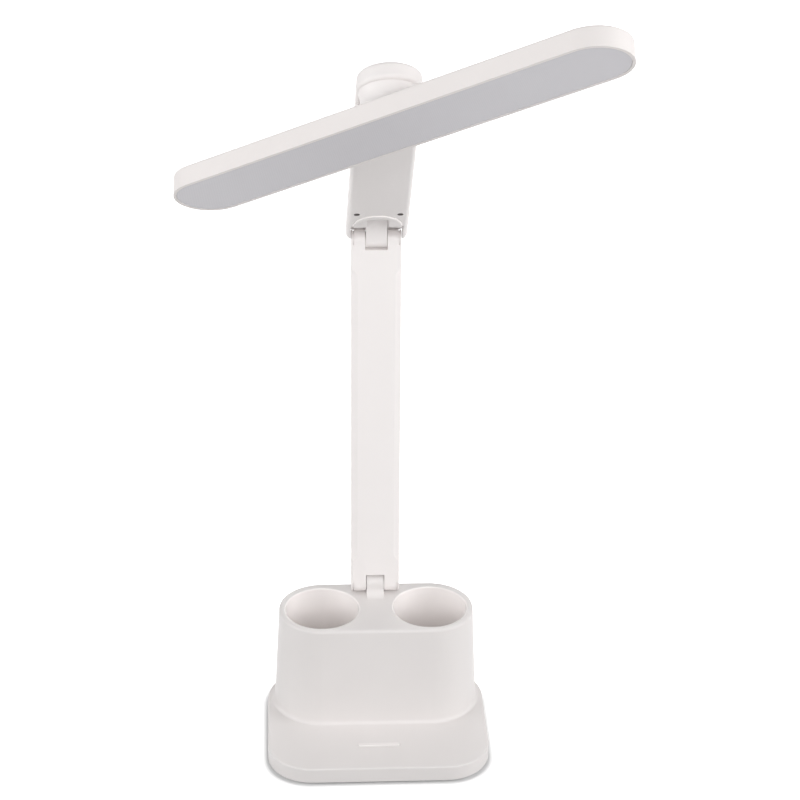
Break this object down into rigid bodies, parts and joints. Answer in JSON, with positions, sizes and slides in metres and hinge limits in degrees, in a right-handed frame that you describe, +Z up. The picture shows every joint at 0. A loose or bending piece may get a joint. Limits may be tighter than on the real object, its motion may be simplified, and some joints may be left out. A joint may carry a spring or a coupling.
{
  "type": "desk lamp",
  "caption": "Folding LED desk lamp: a rounded base with two pen cups and a touch key, a flat arm and neck on friction hinges, and a long swivelling light bar.",
  "frame": {"origin": "middle of the foot pad's underside, on the table", "axes": "+Z up, -Y to the front where the shelf and the touch key are, +X to the right seen from the front"},
  "size_m": [0.217, 0.2201, 0.4868],
  "materials": {
    "white_shell": "satin",
    "diffuser": "matte",
    "key": "satin",
    "foot_pad": "matte",
    "steel": "satin",
    "black_screw": "satin",
    "washer": "matte",
    "cell": "satin",
    "board": "satin",
    "strip": "satin",
    "chip": "gloss",
    "foil": "satin"
  },
  "bodies": {
    "base": {"base_shell": "white_shell", "base_cover": "white_shell", "cover_screws": "steel", "base_pad": "foot_pad", "ballast_plate": "steel", "battery_pack": "cell", "control_board": "board", "usb_socket": "steel", "touch_key": "key", "touch_foil": "foil"},
    "arm": {"lower_hinge_bolt": "steel", "lower_hinge_nut": "steel", "lower_hinge_washers": "washer", "arm_shell": "white_shell", "arm_back_cover": "white_shell", "arm_screws": "steel", "upper_hinge_bolt": "steel", "upper_hinge_nut": "steel", "upper_hinge_washers": "washer"},
    "neck": {"neck_shell": "white_shell", "neck_cover": "white_shell", "neck_screws": "black_screw"},
    "head": {"swivel_spindle": "steel", "swivel_washer": "steel", "swivel_nut": "steel", "head_housing": "white_shell", "head_diffuser": "diffuser", "led_board": "strip", "led_chips": "chip"}
  },
  "joints": [
    {"name": "arm_tilt", "type": "hinge", "parent": "base", "child": "arm", "pos_m": [0, 0.0403, 0.07985], "axis": [1, 0, 0], "range_deg": [-24.2, 35.8]},
    {"name": "neck_tilt", "type": "hinge", "parent": "arm", "child": "neck", "pos_m": [0, 0.06207, 0.29415], "axis": [1, 0, 0], "range_deg": [-50.2, 49.8]},
    {"name": "head_swivel", "type": "hinge", "parent": "neck", "child": "head", "pos_m": [0, -0.07122, 0.43025], "axis": [0, -0.7145, -0.6997], "range_deg": [-129.3, 50.7]}
  ]
}
